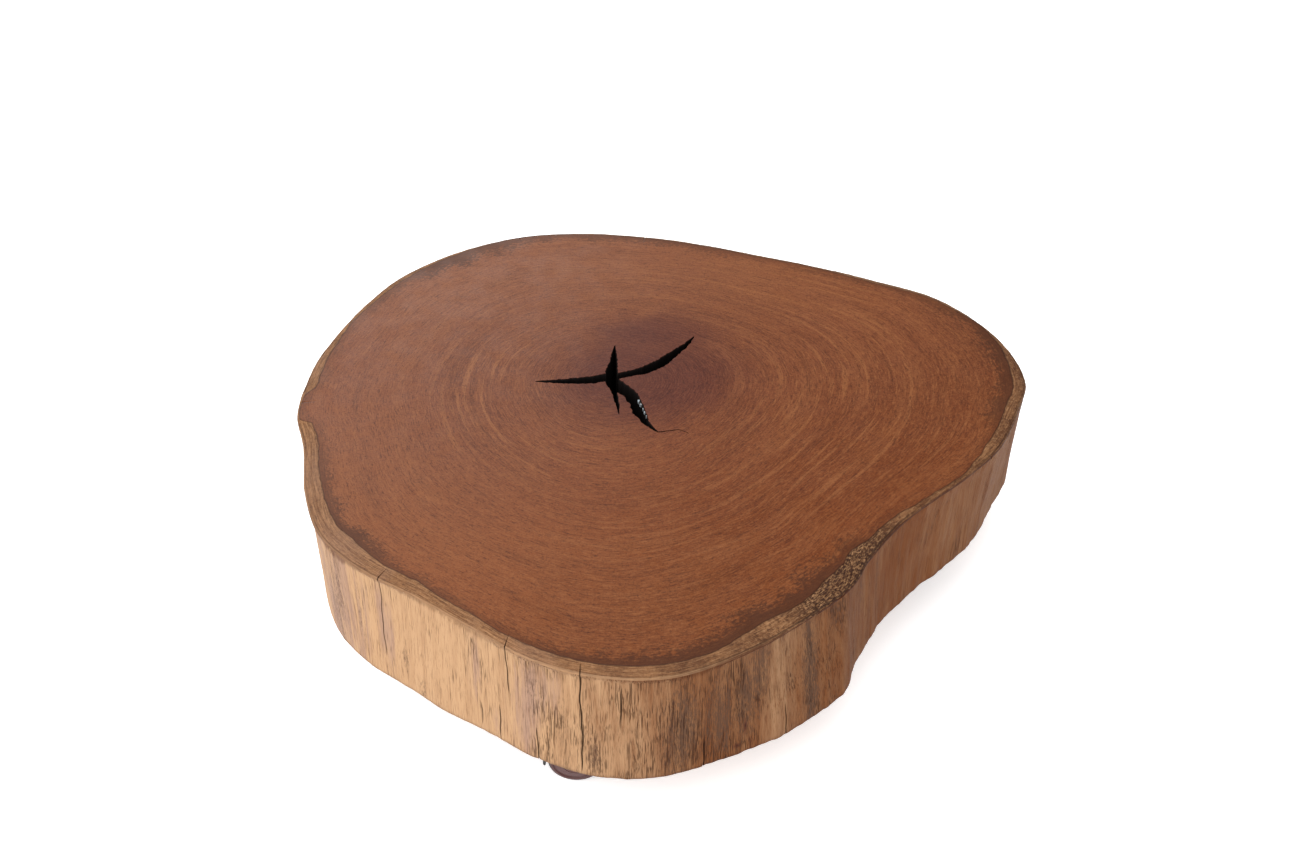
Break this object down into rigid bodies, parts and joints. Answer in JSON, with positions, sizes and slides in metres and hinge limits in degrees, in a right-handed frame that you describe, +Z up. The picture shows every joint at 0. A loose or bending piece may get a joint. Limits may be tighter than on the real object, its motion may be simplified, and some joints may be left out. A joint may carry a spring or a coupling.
{
  "type": "wood slice table on casters",
  "caption": "Low table made of one thick debarked slice of a tree trunk, with a star-shaped heart check, standing on small swivel casters screwed under it.",
  "frame": {"origin": "on the floor under the middle of the bounding box", "axes": "+Z up, -Y towards the front, which is the side that the picture was taken from, +X to the right seen from there"},
  "size_m": [0.705, 0.678, 0.1823],
  "materials": {
    "wood": "sanded and sealed, satin",
    "steel": "zinc plated",
    "nylon": "moulded black nylon, satin",
    "wheel": "moulded black nylon, polished by use"
  },
  "bodies": {
    "table": {"slice": "wood", "caster_1_plate": "steel", "caster_1_kingpin": "steel", "caster_1_screw_1": "steel", "caster_1_screw_2": "steel", "caster_1_screw_3": "steel", "caster_1_screw_4": "steel", "caster_2_plate": "steel", "caster_2_kingpin": "steel", "caster_2_screw_1": "steel", "caster_2_screw_2": "steel", "caster_2_screw_3": "steel", "caster_2_screw_4": "steel", "caster_3_plate": "steel", "caster_3_kingpin": "steel", "caster_3_screw_1": "steel", "caster_3_screw_2": "steel", "caster_3_screw_3": "steel", "caster_3_screw_4": "steel", "caster_4_plate": "steel", "caster_4_kingpin": "steel", "caster_4_screw_1": "steel", "caster_4_screw_2": "steel", "caster_4_screw_3": "steel", "caster_4_screw_4": "steel"},
    "caster_1_fork": {"caster_1_hood": "nylon", "caster_1_axle": "steel"},
    "caster_1_roller_a": {"caster_1_wheel_a": "wheel"},
    "caster_1_roller_b": {"caster_1_wheel_b": "wheel"},
    "caster_2_fork": {"caster_2_hood": "nylon", "caster_2_axle": "steel"},
    "caster_2_roller_a": {"caster_2_wheel_a": "wheel"},
    "caster_2_roller_b": {"caster_2_wheel_b": "wheel"},
    "caster_3_fork": {"caster_3_hood": "nylon", "caster_3_axle": "steel"},
    "caster_3_roller_a": {"caster_3_wheel_a": "wheel"},
    "caster_3_roller_b": {"caster_3_wheel_b": "wheel"},
    "caster_4_fork": {"caster_4_hood": "nylon", "caster_4_axle": "steel"},
    "caster_4_roller_a": {"caster_4_wheel_a": "wheel"},
    "caster_4_roller_b": {"caster_4_wheel_b": "wheel"}
  },
  "joints": [
    {"name": "caster_1_swivel", "type": "hinge", "parent": "table", "child": "caster_1_fork", "pos_m": [-0.05854, -0.26427, 0.045], "axis": [0, 0, 1], "continuous": true},
    {"name": "caster_1_roll_a", "type": "hinge", "parent": "caster_1_fork", "child": "caster_1_roller_a", "pos_m": [-0.07854, -0.26427, 0.025], "axis": [0, 1, 0], "continuous": true},
    {"name": "caster_1_roll_b", "type": "hinge", "parent": "caster_1_fork", "child": "caster_1_roller_b", "pos_m": [-0.07854, -0.26427, 0.025], "axis": [0, 1, 0], "continuous": true},
    {"name": "caster_2_swivel", "type": "hinge", "parent": "table", "child": "caster_2_fork", "pos_m": [0.24046, -0.00726, 0.045], "axis": [0, 0, 1], "continuous": true},
    {"name": "caster_2_roll_a", "type": "hinge", "parent": "caster_2_fork", "child": "caster_2_roller_a", "pos_m": [0.22065, -0.00448, 0.025], "axis": [0.1392, 0.9903, 0], "continuous": true},
    {"name": "caster_2_roll_b", "type": "hinge", "parent": "caster_2_fork", "child": "caster_2_roller_b", "pos_m": [0.22065, -0.00448, 0.025], "axis": [0.1392, 0.9903, 0], "continuous": true},
    {"name": "caster_3_swivel", "type": "hinge", "parent": "table", "child": "caster_3_fork", "pos_m": [0.05646, 0.24474, 0.045], "axis": [0, 0, 1], "continuous": true},
    {"name": "caster_3_roll_a", "type": "hinge", "parent": "caster_3_fork", "child": "caster_3_roller_a", "pos_m": [0.03666, 0.24195, 0.025], "axis": [-0.1392, 0.9903, 0], "continuous": true},
    {"name": "caster_3_roll_b", "type": "hinge", "parent": "caster_3_fork", "child": "caster_3_roller_b", "pos_m": [0.03666, 0.24195, 0.025], "axis": [-0.1392, 0.9903, 0], "continuous": true},
    {"name": "caster_4_swivel", "type": "hinge", "parent": "table", "child": "caster_4_fork", "pos_m": [-0.26154, 0.06173, 0.045], "axis": [0, 0, 1], "continuous": true},
    {"name": "caster_4_roll_a", "type": "hinge", "parent": "caster_4_fork", "child": "caster_4_roller_a", "pos_m": [-0.28149, 0.06313, 0.025], "axis": [0.0698, 0.9976, 0], "continuous": true},
    {"name": "caster_4_roll_b", "type": "hinge", "parent": "caster_4_fork", "child": "caster_4_roller_b", "pos_m": [-0.28149, 0.06313, 0.025], "axis": [0.0698, 0.9976, 0], "continuous": true}
  ]
}
